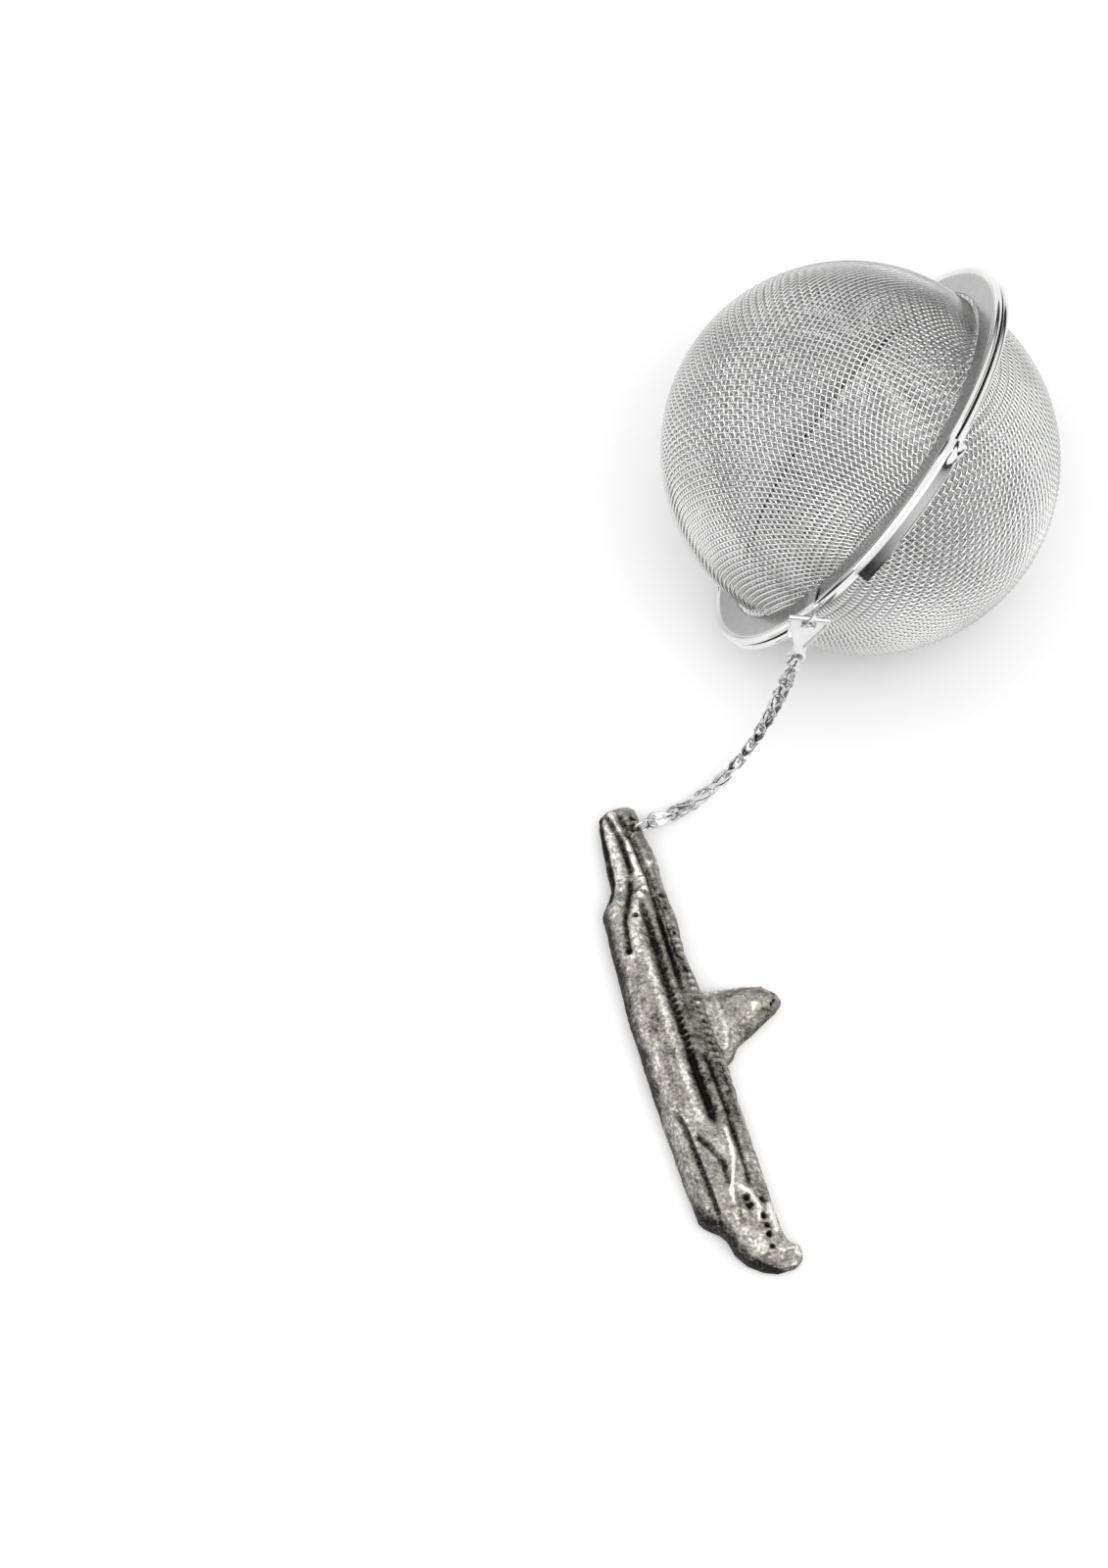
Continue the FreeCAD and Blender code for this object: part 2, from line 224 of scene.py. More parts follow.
def ramp(node, stops):
    """Colour ramp with a colour or a grey at each place."""
    made = node("ShaderNodeValToRGB")
    band = made.color_ramp
    while len(band.elements) < len(stops):
        band.elements.new(0.5)
    for element, (at, colour) in zip(band.elements, stops):
        element.position = at
        element.color = (*colour, 1.0) if isinstance(colour, tuple) else (colour, colour, colour, 1.0)
    return made


def multiply_add(node, link, value, factor, added):
    """Node for value times factor plus added, where added is a number or another node's output."""
    made = node("ShaderNodeMath", operation="MULTIPLY_ADD")
    link(value, made.inputs[0])
    made.inputs[1].default_value = factor
    if isinstance(added, float):
        made.inputs[2].default_value = added
    else:
        link(added, made.inputs[2])
    return made.outputs["Value"]


def map_range(node, link, value, old, new):
    """Node that carries a value from one range to another."""
    made = node("ShaderNodeMapRange")
    for end, old_value, new_value in zip(("Min", "Max"), old, new):
        made.inputs["From " + end].default_value = old_value
        made.inputs["To " + end].default_value = new_value
    link(value, made.inputs["Value"])
    return made.outputs["Result"]


# painted shade: the flange's flat is darkened in colour by this share
satin_painted_shade = -0.5
satin_haze = 0.16
tone_scale = 90.0


def steel(name, light, dark, rough, grain, bump):
    """Stainless steel: slow tone changes, a fine grain in the roughness and a faint relief.

    Where the mesh's satin mask is 1 the metal is less polished for its satin finish, and its colour is
    darkened as painted shade.
    """
    material, shader, node, link = new_material(name)
    shader.inputs["Metallic"].default_value = 1.0
    where = node("ShaderNodeTexCoord")
    slow = node("ShaderNodeTexNoise", Scale=tone_scale, Detail=3.0)
    fine = node("ShaderNodeTexNoise", Scale=grain, Detail=4.0, Roughness=0.65)
    link(where.outputs["Object"], slow.inputs["Vector"])
    link(where.outputs["Object"], fine.inputs["Vector"])
    tone = ramp(node, [(0.35, dark), (0.68, light)])
    link(slow.outputs["Fac"], tone.inputs["Fac"])
    satin_and_shade = node("ShaderNodeAttribute", attribute_name="satin_and_shade").outputs["Fac"]
    dulled = node("ShaderNodeVectorMath", operation="SCALE")
    link(tone.outputs["Color"], dulled.inputs[0])
    # painted shade: colour darkened where the satin mask is 1
    link(multiply_add(node, link, satin_and_shade, satin_painted_shade, 1.0), dulled.inputs["Scale"])
    link(dulled.outputs["Vector"], shader.inputs["Base Color"])
    polish = map_range(node, link, fine.outputs["Fac"], (0.3, 0.7), rough)
    link(multiply_add(node, link, satin_and_shade, satin_haze, polish), shader.inputs["Roughness"])
    relief = node("ShaderNodeBump", Strength=bump, Distance=0.00004)
    link(fine.outputs["Fac"], relief.inputs["Height"])
    link(relief.outputs["Normal"], shader.inputs["Normal"])
    return material


def centred(node, link, noise_value, strength, mean, base):
    """Base value with noise of a strength added and about its mean share taken away."""
    moved = node("ShaderNodeMath", operation="SUBTRACT")
    link(multiply_add(node, link, noise_value, strength, base), moved.inputs[0])
    moved.inputs[1].default_value = mean
    return moved.outputs["Value"]


# from the darkest, in recesses and in painted shade, to the brightest worn edge
pewter_tones = [(0.1, (0.014, 0.012, 0.011)), (0.26, (0.085, 0.079, 0.072)), (0.44, (0.235, 0.222, 0.201)),
                (0.62, (0.41, 0.393, 0.36)), (0.84, (0.82, 0.81, 0.785))]


def pewter():
    """Antiqued pewter: the mesh's attribute drives dark recesses, worn bright edges and painted shade on the
    casting's sides and along its keel.
    """
    material, shader, node, link = new_material("antique_pewter")
    shader.inputs["Metallic"].default_value = 1.0
    where = node("ShaderNodeTexCoord")
    # this layer holds the worn tone of the relief and painted shade
    relief = node("ShaderNodeAttribute", attribute_name="wear_and_shade")
    blotch = node("ShaderNodeTexNoise", Scale=420.0, Detail=6.0, Roughness=0.62)
    grain = node("ShaderNodeTexNoise", Scale=1900.0, Detail=4.0, Roughness=0.7)
    link(where.outputs["Object"], blotch.inputs["Vector"])
    link(where.outputs["Object"], grain.inputs["Vector"])
    worn_and_shaded = centred(node, link, blotch.outputs["Fac"], 0.62, 0.31, relief.outputs["Fac"])
    mottled = centred(node, link, grain.outputs["Fac"], 0.8, 0.37, worn_and_shaded)
    tone = ramp(node, pewter_tones)
    link(mottled, tone.inputs["Fac"])
    link(tone.outputs["Color"], shader.inputs["Base Color"])
    link(map_range(node, link, worn_and_shaded, (0.15, 0.85), (0.62, 0.27)), shader.inputs["Roughness"])
    height = multiply_add(node, link, grain.outputs["Fac"], 0.35, blotch.outputs["Fac"])
    bump = node("ShaderNodeBump", Strength=0.45, Distance=0.00012)
    link(height, bump.inputs["Height"])
    link(bump.outputs["Normal"], shader.inputs["Normal"])
    return material


wire_steel = steel("drawn_wire", (0.77, 0.77, 0.765), (0.61, 0.615, 0.61),
                   rough=(0.1, 0.2), grain=2200.0, bump=0.06)
rim_steel = steel("polished_rim", (0.78, 0.78, 0.775), (0.68, 0.685, 0.68),
                  rough=(0.07, 0.17), grain=900.0, bump=0.05)
stamped_steel = steel("stamped_sheet", (0.74, 0.74, 0.74), (0.58, 0.58, 0.585),
                      rough=(0.13, 0.26), grain=1600.0, bump=0.08)
pewter_metal = pewter()


# ---------------------------------------------------------------- woven bowls

wire_pitch = 0.7
wire_radius = 0.15
half_step = wire_pitch / 2
clamp_height = 0.5
mesh_fillet = 0.4
clamp_reach = 0.9
upper_bowl_radius, upper_wall = 21.8, 1.7
lower_bowl_radius, lower_wall = 22.4, 0.9
crimp = wire_radius * 0.98
pull_azimuth = math.radians(64.0)


class Bowl:
    """Mid surface of a woven bowl: half sphere, short wall, fillet and clamped flange."""

    def __init__(self, outer_radius, wall_height):
        self.radius = outer_radius - 2 * wire_radius
        self.wall = wall_height
        self.sphere_arc = self.radius * math.pi / 2
        self.wall_arc = wall_height - clamp_height - mesh_fillet
        self.fillet_arc = mesh_fillet * math.pi / 2
        self.end = self.sphere_arc + self.wall_arc + self.fillet_arc + clamp_reach

    def at(self, arc):
        """Radius, height and normal at an arc length from the pole."""
        if arc <= self.sphere_arc:
            a = arc / self.radius
            return self.radius * math.sin(a), self.wall + self.radius * math.cos(a), math.sin(a), math.cos(a)
        arc -= self.sphere_arc
        if arc <= self.wall_arc:
            return self.radius, self.wall - arc, 1.0, 0.0
        arc -= self.wall_arc
        bend = min(arc / mesh_fillet, math.pi / 2)
        beyond = max(arc - self.fillet_arc, 0.0)
        across = self.radius + mesh_fillet * (1 - math.cos(bend)) + beyond
        return across, clamp_height + mesh_fillet * (1 - math.sin(bend)), math.cos(bend), math.sin(bend)


def draped_net(radius, count):
    """Crossings of a square net of half steps laid on a sphere, for one quarter."""
    angle = half_step / radius
    net = [[None] * (count + 1) for _ in range(count + 1)]
    for k in range(count + 1):
        net[k][0] = Vector((math.sin(k * angle), 0.0, math.cos(k * angle)))
        net[0][k] = Vector((0.0, math.sin(k * angle), math.cos(k * angle)))
    for i in range(1, count + 1):
        for j in range(1, count + 1):
            normal = net[i][j - 1].cross(net[i - 1][j])
            if normal.length < 1e-6:
                normal = net[i - 1][j - 1].cross(net[i - 1][j])
            normal.normalize()
            corner = net[i - 1][j - 1]
            net[i][j] = corner - normal * (2 * corner.dot(normal))
    return net


def woven_bowl(prefix, bowl, weave_angle, pull, side, body, node):
    """Two pieces, the wires one way and the wires the other, crimped over and under.

    Pull is how far the forming brings one set of wires outwards at either end of the rim.
    """
    count = int(bowl.end / half_step) + 1
    net = draped_net(bowl.radius, count)
    turn = math.radians(weave_angle)
    flange_arc = bowl.end - clamp_reach

    def crossing(i, j):
        """Place, normal and arc of half step (i, j) of the net, or None past the clamp."""
        spot = net[abs(i)][abs(j)]
        arc = math.acos(max(-1.0, min(1.0, spot.z))) * bowl.radius
        if arc > bowl.end or (arc < bowl.sphere_arc * 0.5 and max(abs(i), abs(j)) > 0.9 * count):
            return None
        around = math.atan2(math.copysign(spot.y, j), math.copysign(spot.x, i)) + turn
        across, height, lean_out, lean_up = bowl.at(arc)
        outward = (math.cos(around), math.sin(around))
        return ((across * outward[0], across * outward[1], side * height),
                (lean_out * outward[0], lean_out * outward[1], side * lean_up), arc)

    for way in ("warp", "weft"):
        made = Builder()
        for line in range(-count, count + 1):
            if line % 2:
                continue
            run = []
            for step in range(-count, count + 1):
                i, j = (line, step) if way == "warp" else (step, line)
                found = crossing(i, j)
                if found is None:
                    if step > 0 and run:
                        break
                    run = []
                    continue
                place, normal, arc = found
                around = math.atan2(place[1], place[0])
                proud = pull * math.cos(around - pull_azimuth) * smoothstep(0.2, 0.6, arc / bowl.sphere_arc)
                over = 0 if step % 2 else 1 - (i + j) // 2 % 2 * 2
                lift = crimp * (over * (1 - abs(proud)) + proud) * (1 if way == "warp" else -1)
                lift *= 1 - smoothstep(flange_arc - 0.5, flange_arc, arc)
                run.append((np.array(place) + np.array(normal) * lift, normal))
            if len(run) > 2:
                made.tube([p for p, _ in run], np.array([n for _, n in run]), wire_radius, sides=5)
        points = ball.out(np.vstack(made.points))
        mesh_piece("%s_%s" % (prefix, way), points, made.faces, wire_steel, body, "mesh", node)


# ---------------------------------------------------------------- rims and locking lips

rim_radius = 26.0
bead_radius = 0.4
bead_centre = (rim_radius - bead_radius, 0.5)
flange_top = 0.78
# where the flat of the flange ends and its crease begins, across and up; the flat has a satin finish and
# painted shade
satin_shade_edge = (24.95, 25.15)
satin_shade_rise = (0.6, 0.72)
rim_segments = 360
cutaway_radius = 24.4
lip_start, lip_hook, lip_end = 127.0, 142.0, 169.0
cutaway_start = 97.0
lip_centre = (25.27, -0.2)
lip_radius = 1.18
lip_gauge = 0.25
lip_top = 0.9
lip_skirt = -1.1
lip_foot = -1.38
lip_slopes = (-4.0, 15.0)
hook_radius = 24.7


def rim_profile(inner):
    """Closed section of a folded rim: rolled inner edge, flat top, crease, bead and flat underside."""
    points = arc_points((inner + 0.11, 0.67), 0.11, 250, 90, 7)
    points += [(inner + 0.5, flange_top), (23.6, flange_top + 0.03), (24.7, flange_top)]
    points += [(25.0, flange_top - 0.02), (25.12, flange_top - 0.09)]
    points += arc_points(bead_centre, bead_radius, 140, -90, 22)
    points += [(24.9, 0.1), (24.0, 0.12), (inner + 0.4, 0.1)]
    points += arc_points((inner + 0.1, 0.2), 0.1, 270, 100, 6)
    points += [(24.0, 0.3), (24.6, 0.36), (24.6, 0.52), (24.0, 0.56)]
    return points


def rim(name, bowl_radius, side, cut, body, node):
    """Folded rim on one side of the ball's middle plane, with the two cut-aways if asked."""
    profile = np.array(rim_profile(bowl_radius + 0.5))
    angles = np.linspace(0, 360, rim_segments, endpoint=False)
    if cut:
        edges = [cutaway_start, lip_start, cutaway_start + 180, lip_start + 180]
        extra = [edge + shift for edge in edges for shift in (-0.6, -0.3, 0.3, 0.6)]
        angles = np.sort(np.concatenate([angles, extra]))
    points = []
    for angle in angles:
        r = profile[:, 0].copy()
        if cut:
            within = angle % 180
            depth = smoothstep(cutaway_start - 0.7, cutaway_start + 0.2, within)
            depth *= 1 - smoothstep(lip_start - 0.2, lip_start + 0.7, within)
            limit = rim_radius + 0.1 - depth * (rim_radius + 0.1 - cutaway_radius)
            r = np.where(r > limit, limit + 0.02 * (r - limit), r)
        a = math.radians(angle)
        points.append(np.stack([r * math.cos(a), r * math.sin(a), side * profile[:, 1]], axis=1))
    faces = grid_faces(len(angles), len(profile), wrap_rows=True, wrap_columns=True, flip=side < 0)
    piece = mesh_piece(name, ball.out(np.vstack(points)), faces, rim_steel,
                       body, "polished_rim", node, sharp=50)
    # the flat of the flange: satin finish in the roughness and painted shade in the colour
    flat = smoothstep(*satin_shade_rise, profile[:, 1]) * (1 - smoothstep(*satin_shade_edge, profile[:, 0]))
    point_layer(piece, "satin_and_shade", np.tile(flat, len(angles)))


def lip_section(hooked, slope):
    """Outer line of a lip: round shoulder, flat skirt at a slope, then straight or hooked inwards."""
    top = math.degrees(math.asin((lip_top - lip_centre[1]) / lip_radius))
    curve = arc_points(lip_centre, lip_radius, top, 14, 12)
    knee = curve[-1]
    drop = knee[1] - lip_skirt
    draw = drop * math.tan(math.radians(slope))
    skirt = [(knee[0] - draw * t, knee[1] - drop * t) for t in np.linspace(0, 1, 12)[1:]]
    end = skirt[-1]
    turn = np.radians(np.linspace(0, 90, 6)[1:])
    bend = end[1] - lip_foot
    under = [(end[0] - bend * (1 - math.cos(a)), end[1] - bend * math.sin(a)) for a in turn]
    under += [(r, lip_foot) for r in np.linspace(under[-1][0], hook_radius, 6)[1:]]
    straight = [(end[0], end[1] - bend * t) for t in np.linspace(0, 1, len(under) + 1)[1:]]
    mixed = [tuple(np.array(a) * (1 - hooked) + np.array(b) * hooked) for a, b in zip(straight, under)]
    return np.array(curve + skirt + mixed)


def lip(name, start):
    """Sheet lip that wraps round the lower bead, with a bump and a flared corner at its open end."""
    angles = np.concatenate([np.linspace(lip_start, lip_hook, 24), np.linspace(lip_hook, lip_end, 70)[1:]])
    outer_rows, inner_rows = [], []
    for angle in angles:
        hooked = float(smoothstep(lip_hook - 1.5, lip_hook + 0.5, angle))
        line = lip_section(hooked, float(np.interp(angle, (lip_start, lip_end), lip_slopes)))
        bump = math.exp(-((angle - (lip_end - 3.4)) / 2.7) ** 2)
        flare = float(smoothstep(lip_end - 5.0, lip_end, angle))
        centre_way = line - np.array(lip_centre)
        centre_way /= np.linalg.norm(centre_way, axis=1)[:, None]
        height = line[:, 1]
        swell = 0.5 * bump * np.exp(-((height - 0.15) / 0.7) ** 2)
        trumpet = 0.42 * flare * np.exp(-((height + 1.05) / 0.5) ** 2)
        line = line + centre_way * (swell + trumpet)[:, None]
        line[0] += (-0.25, -0.1)
        along = np.gradient(line, axis=0)
        along /= np.linalg.norm(along, axis=1)[:, None]
        inward = np.stack([along[:, 1], -along[:, 0]], axis=1)
        a = math.radians(angle + start)
        for rows, section in ((outer_rows, line), (inner_rows, line + inward * lip_gauge)):
            across, up = section.T
            rows.append(np.stack([across * math.cos(a), across * math.sin(a), up], axis=1))
    rows = [np.vstack([outer, inner[::-1]]) for outer, inner in zip(outer_rows, inner_rows)]
    columns = len(rows[0])
    faces = grid_faces(len(rows), columns, wrap_columns=True)
    last = (len(rows) - 1) * columns
    half = columns // 2
    for k in range(half - 1):
        cap = (k, columns - 1 - k, columns - 2 - k, k + 1)
        faces.append(cap)
        faces.append(tuple(last + i for i in cap[::-1]))
    mesh_piece(name, ball.out(np.vstack(rows)), faces, rim_steel, "upper_half", "polished_rim",
               "upper_rim_flange", sharp=45)


# ---------------------------------------------------------------- chain links

link_pitch = 2.82
link_gauge = 0.16
eye_radius = 0.95
eye_centre = 2.47
hole_radius = 0.45
waist_half = 0.25
waist_radius = 0.19
straddle = 0.43
ear_gap = 0.01
ear_bend = (1.15, 2.05)
# the ear's own section is drawn for a sheet this thick, then brought to the link's gauge
ear_sheet = 0.2


def teardrop(count):
    """Outline of a link's ear: round at its eye, with straight sides to the waist."""
    angle = math.acos((eye_radius - waist_half) / eye_centre)
    arc = arc_points((eye_centre, 0.0), eye_radius, -180 + math.degrees(angle), 180 - math.degrees(angle), 33)
    corner = arc[-1]
    side = [(corner[0] + (-waist_half - corner[0]) * t, corner[1] + (waist_half - corner[1]) * t)
            for t in np.linspace(0, 1, 14)[1:]]
    mirrored = [(x, -y) for x, y in side[::-1]]
    outline = np.array(mirrored + arc + side)
    steps = np.concatenate([[0], np.cumsum(np.linalg.norm(np.diff(outline, axis=0), axis=1))])
    at = np.linspace(0, steps[-1], count)
    return np.stack([np.interp(at, steps, outline[:, 0]), np.interp(at, steps, outline[:, 1])], axis=1)


def link_mesh():
    """One folded link in its own frame: waist on Z at the origin, eye along +X."""
    made = Builder()
    outline = teardrop(72)
    around = np.arctan2(outline[:, 1], outline[:, 0] - link_pitch)
    hole = np.stack([link_pitch + hole_radius * np.cos(around), hole_radius * np.sin(around)], axis=1)
    reach = np.linalg.norm(outline - hole, axis=1)
    # the ear's closed section: how far in from its rim, or what share of the way, and how high
    turn = np.radians(np.linspace(-90, 90, 7))
    edge = [(0.07 * (1 - math.cos(a)), ear_sheet / 2 * (1 + math.sin(a))) for a in turn]
    section = [("rim", inset, z) for inset, z in edge]
    section += [("face", f, ear_sheet + dish) for f, dish in
                ((0.86, 0.005), (0.78, -0.005), (0.6, -0.02), (0.35, -0.025), (0.18, -0.005))]
    section += [("hole", inset, z) for inset, z in edge[::-1]]
    section += [("face", f, 0.0) for f in (0.18, 0.35, 0.6, 0.78, 0.86)]
    for side in (1, -1):
        rings = []
        for kind, amount, z in section:
            if kind == "face":
                share = np.full(len(outline), amount)
            elif kind == "rim":
                share = 1 - np.minimum(amount / reach, 0.1)
            else:
                share = np.minimum(amount / reach, 0.1)
            flat = hole + (outline - hole) * share[:, None]
            bend = straddle - (straddle - ear_gap) * smoothstep(*ear_bend, flat[:, 0])
            rings.append(np.column_stack([flat, side * (bend + z * link_gauge / ear_sheet)]))
        points = np.stack(rings, axis=1).reshape(-1, 3)
        made.add(points, grid_faces(len(outline), len(section), wrap_columns=True, flip=side > 0))
    spread = np.linspace(-straddle - 0.12, straddle + 0.12, 9)
    waist = [(-0.02, 0.0, z) for z in spread]
    girth = waist_radius + 0.05 * (np.abs(spread) / spread[-1]) ** 3
    made.tube(waist, np.tile([1.0, 0.0, 0.0], (9, 1)), girth, sides=14)
    return np.vstack(made.points), made.faces


def chain():
    """The links, each on its own pivot and turned towards the next one."""
    points, faces = link_mesh()
    for i in range(link_count):
        here, ahead = chain_pivots[i + 1], chain_pivots[i + 2]
        place = Place(here, unit(ahead - here), hinge("link_%02d_swing" % (i + 1)))
        name = "chain_link_%02d" % (i + 1)
        mesh_piece("stamped_" + name, place.out(points), faces, stamped_steel,
                   name, "stamped_steel", name, sharp=60)


# ---------------------------------------------------------------- plate, strap and ring

plate_length = 7.5
plate_half = 2.4
plate_neck = 0.8
plate_rolled_height = 0.11
ring_wire_radius = 0.2


def modified(piece):
    """Points, normals and faces of an object with its modifiers applied."""
    bpy.context.view_layer.update()
    mesh = bpy.data.meshes.new_from_object(piece.evaluated_get(bpy.context.evaluated_depsgraph_get()))
    points = np.array([v.co for v in mesh.vertices], float).reshape(-1, 3)
    normals = np.array([n.vector for n in mesh.vertex_normals], float).reshape(-1, 3)
    faces = [tuple(p.vertices) for p in mesh.polygons]
    bpy.data.meshes.remove(mesh)
    return points, normals, faces


def softened(name, node, voxel, passes, shape=None):
    """A node's own solid, rebuilt in fine quads with soft edges, then shaped in millimetres."""
    source = frame["nodes"][node]
    mesh = source.data.copy()
    mesh.name = name
    piece = bpy.data.objects.new(name, mesh)
    bpy.context.scene.collection.objects.link(piece)
    remesh = piece.modifiers.new("remesh", "REMESH")
    remesh.mode = "VOXEL"
    remesh.voxel_size = voxel * MM
    smooth = piece.modifiers.new("smooth", "SMOOTH")
    smooth.factor = 0.5
    smooth.iterations = passes
    points, _, faces = modified(piece)
    bpy.data.objects.remove(piece)
    points = points / MM
    return (shape(points) if shape else points), faces


def plate():
    """The tapered plate, with its rolled edges, raised eye and dished middle added to the solid."""
    way = unit(chain_pivots[1] - chain_pivots[0])
    place = Place(chain_pivots[0], way, np.cross(way, hinge("plate_swing")))

    def shape(points):
        local = place.back(points)
        x, y = local[:, 0], np.abs(local[:, 1])
        width = np.interp(x, (0, 1.3, 5.4, plate_length),
                          (plate_half, 0.92 * plate_half, plate_neck, plate_neck))
        hem = np.exp(-((width - y - 0.22) / 0.2) ** 2)
        hem = hem * smoothstep(0.2, 0.6, x) * (1 - smoothstep(5.0, 6.2, x))
        hem = hem + 0.8 * np.exp(-((x - 0.12) / 0.25) ** 2)
        ring = np.hypot(x - plate_length, local[:, 1])
        hem = hem + 0.8 * np.exp(-((ring - 0.82) / 0.2) ** 2)
        dish = -0.5 * np.exp(-(y / 0.9) ** 2) * smoothstep(1.9, 3.0, x) * (1 - smoothstep(4.6, 6.0, x))
        local[:, 2] += np.sign(local[:, 2]) * plate_rolled_height * (hem + dish)
        return place.out(local)

    points, faces = softened("plate_sheet", "chain_plate", 0.065, 4, shape)
    mesh_piece("plate_sheet", points, faces, stamped_steel, "chain_plate", "stamped_steel", "chain_plate")


def strap():
    """The folded strap on the upper rim, from its own solid."""
    points, faces = softened("strap_sheet", "chain_strap", 0.045, 3)
    mesh_piece("strap_sheet", points, faces, stamped_steel, "upper_half", "stamped_steel", "chain_strap")


def charm_ring():
    """Round wire ring with a butt joint, from the charm's hole to the last link."""
    made = Builder()
    way = unit(ring_end - charm_eye)
    centre = (ring_end + charm_eye) / 2
    angles = np.radians(np.linspace(94, 94 + 357, 72))
    radius = np.linalg.norm(ring_end - charm_eye) / 2
    out = np.cos(angles)[:, None] * way + np.sin(angles)[:, None] * UP
    made.tube(centre + radius * out, out, ring_wire_radius, sides=14)
    mesh_piece("ring_wire", np.vstack(made.points), made.faces, stamped_steel, "charm_ring", "stamped_steel",
               "charm_ring", sharp=50)


# ---------------------------------------------------------------- submarine charm

# The charm's outline: distance from the stern along the hull, and distance towards the deck.
keel_line = [(0.0, -0.6), (0.3, -1.9), (1.0, -2.7), (4.1, -3.4), (10.1, -4.3), (11.6, -5.1),
             (13.0, -6.3), (18.7, -6.9), (26.2, -7.7), (36.7, -8.2), (47.1, -8.45), (52.6, -8.4),
             (53.4, -8.0), (54.6, -6.7), (55.6, -6.1), (57.6, -5.8), (59.3, -4.9), (60.6, -3.4),
             (61.35, -1.8)]
deck_line = [(0.0, 0.5), (0.4, 1.3), (1.2, 1.7), (4.6, 1.6), (8.2, 1.9), (12.0, 1.5), (16.0, 1.6),
             (20.4, 1.1), (25.0, 1.2), (36.0, 1.0), (44.0, 0.55), (51.4, 0.3), (56.6, 0.1), (58.6, 0.5),
             (59.7, 1.5), (60.7, 1.4), (61.35, 0.4)]
tower_line = [(24.6, 0.0), (25.6, 1.6), (26.2, 3.6), (26.5, 6.2), (27.2, 8.2), (28.3, 9.4), (29.4, 9.7),
              (30.2, 8.8), (31.0, 7.2), (32.2, 5.0), (33.0, 3.1), (34.3, 2.2), (35.2, 0.6),
              (35.6, -0.6)]
charm_voxel = 0.11
charm_face = 4.62
charm_thickness = 4.8
charm_hole_radius = 0.72
# the lug is notched from its face and its back for the ring, and a web stays between these heights
notch_half = 0.62
lug_web = (1.68, 2.72)


def charm_hull():
    """Lofted hull from stern to bow: flat back, upright edges and a crowned face."""
    made = Builder()
    stations = np.concatenate([np.linspace(0.03, 1.5, 9), np.linspace(1.8, 60.0, 190),
                               np.linspace(60.2, 61.3, 8)])
    keel = np.interp(stations, *zip(*keel_line))
    deck = np.interp(stations, *zip(*deck_line))
    rows = []
    for s, low, high in zip(stations, keel, deck):
        middle, half = (low + high) / 2, (high - low) / 2
        ends = min(1.0, ((s + 0.4) / 3.0) ** 0.5, ((61.9 - s) / 5.0) ** 0.5)
        crown = min(charm_face, 1.2 + 0.9 * half) * (0.45 + 0.55 * ends)
        edge = min(1.3, crown * 0.4)
        angles = np.radians(np.linspace(180, 0, 25))
        face = [(middle + half * math.copysign(abs(math.cos(a)) ** 0.85, math.cos(a)),
                 edge + (crown - edge) * math.sin(a) ** 0.72) for a in angles]
        section = [(low + 0.15, 0.0)] + face + [(high - 0.15, 0.0)]
        rows.append([(s, d, z) for d, z in section])
    columns = len(rows[0])
    faces = grid_faces(len(rows), columns, wrap_columns=True, flip=True)
    faces.append(tuple(range(columns)))
    faces.append(tuple(range((len(rows) - 1) * columns, len(rows) * columns))[::-1])
    made.add(np.array(rows).reshape(-1, 3), faces)
    return made


def charm_tower():
    """Fin-shaped tower slab with a crowned face, which sinks into the hull's deck side."""
    made = Builder()
    outline = np.array(tower_line)
    middle = np.array([30.0, 1.2])
    rings = []
    # share of the outline that is left at each height, so the slab has a crowned face
    for share, height in ((1.0, 0.0), (1.0, 0.9), (0.97, 1.5), (0.9, 2.1), (0.78, 2.6), (0.6, 2.95),
                          (0.3, 3.1)):
        pulled = middle + (outline - middle) * np.array([share, 1 - (1 - share) * 0.5])
        rings.append(np.column_stack([pulled, np.full(len(outline), height)]))
    columns = len(outline)
    faces = grid_faces(len(rings), columns, wrap_columns=True)
    faces.append(tuple(range(columns))[::-1])
    faces.append(tuple(range((len(rings) - 1) * columns, len(rings) * columns)))
    made.add(np.vstack(rings), faces)
    return made


def scratch_object(made):
    """A plain object in charm millimetres, for the booleans only."""
    mesh = bpy.data.meshes.new("scratch")
    mesh.from_pydata(np.vstack(made.points).tolist(), [], made.faces)
    piece = bpy.data.objects.new("scratch", mesh)
    bpy.context.scene.collection.objects.link(piece)
    return piece


def upright(centre, radius, low, high):
    """Upright cylinder cutter."""
    made = Builder()
    heights = (low, (low + high) / 2, high)
    made.tube([(*centre, z) for z in heights], np.tile([1.0, 0.0, 0.0], (3, 1)), radius, sides=32)
    return scratch_object(made)


def slot_cutter(start, end, half_width, low, high):
    """Upright slab cutter between two (s, d) points."""
    start, end = np.array(start), np.array(end)
    along = unit(end - start)
    across = np.array([-along[1], along[0]]) * half_width
    corners = [start - across, end - across, end + across, start + across]
    points = [(*c, low) for c in corners] + [(*c, high) for c in corners]
    faces = [(3, 2, 1, 0), (4, 5, 6, 7), (0, 1, 5, 4), (1, 2, 6, 5), (2, 3, 7, 6), (3, 0, 4, 7)]
    made = Builder()
    made.add(points, faces)
    return scratch_object(made)


def near_line(s, d, line):
    """Distance from (s, d) points to a line through several points, and the share along it."""
    best = np.full(len(s), 1e9)
    share = np.zeros(len(s))
    line = np.array(line, float)
    lengths = np.linalg.norm(np.diff(line, axis=0), axis=1)
    total, gone = lengths.sum(), 0.0
    for a, b, length in zip(line, line[1:], lengths):
        t = np.clip(((s - a[0]) * (b[0] - a[0]) + (d - a[1]) * (b[1] - a[1])) / length ** 2, 0, 1)
        away = np.hypot(s - a[0] - t * (b[0] - a[0]), d - a[1] - t * (b[1] - a[1]))
        closer = away < best
        best = np.where(closer, away, best)
        share = np.where(closer, (gone + t * length) / total, share)
        gone += length
    return best, share


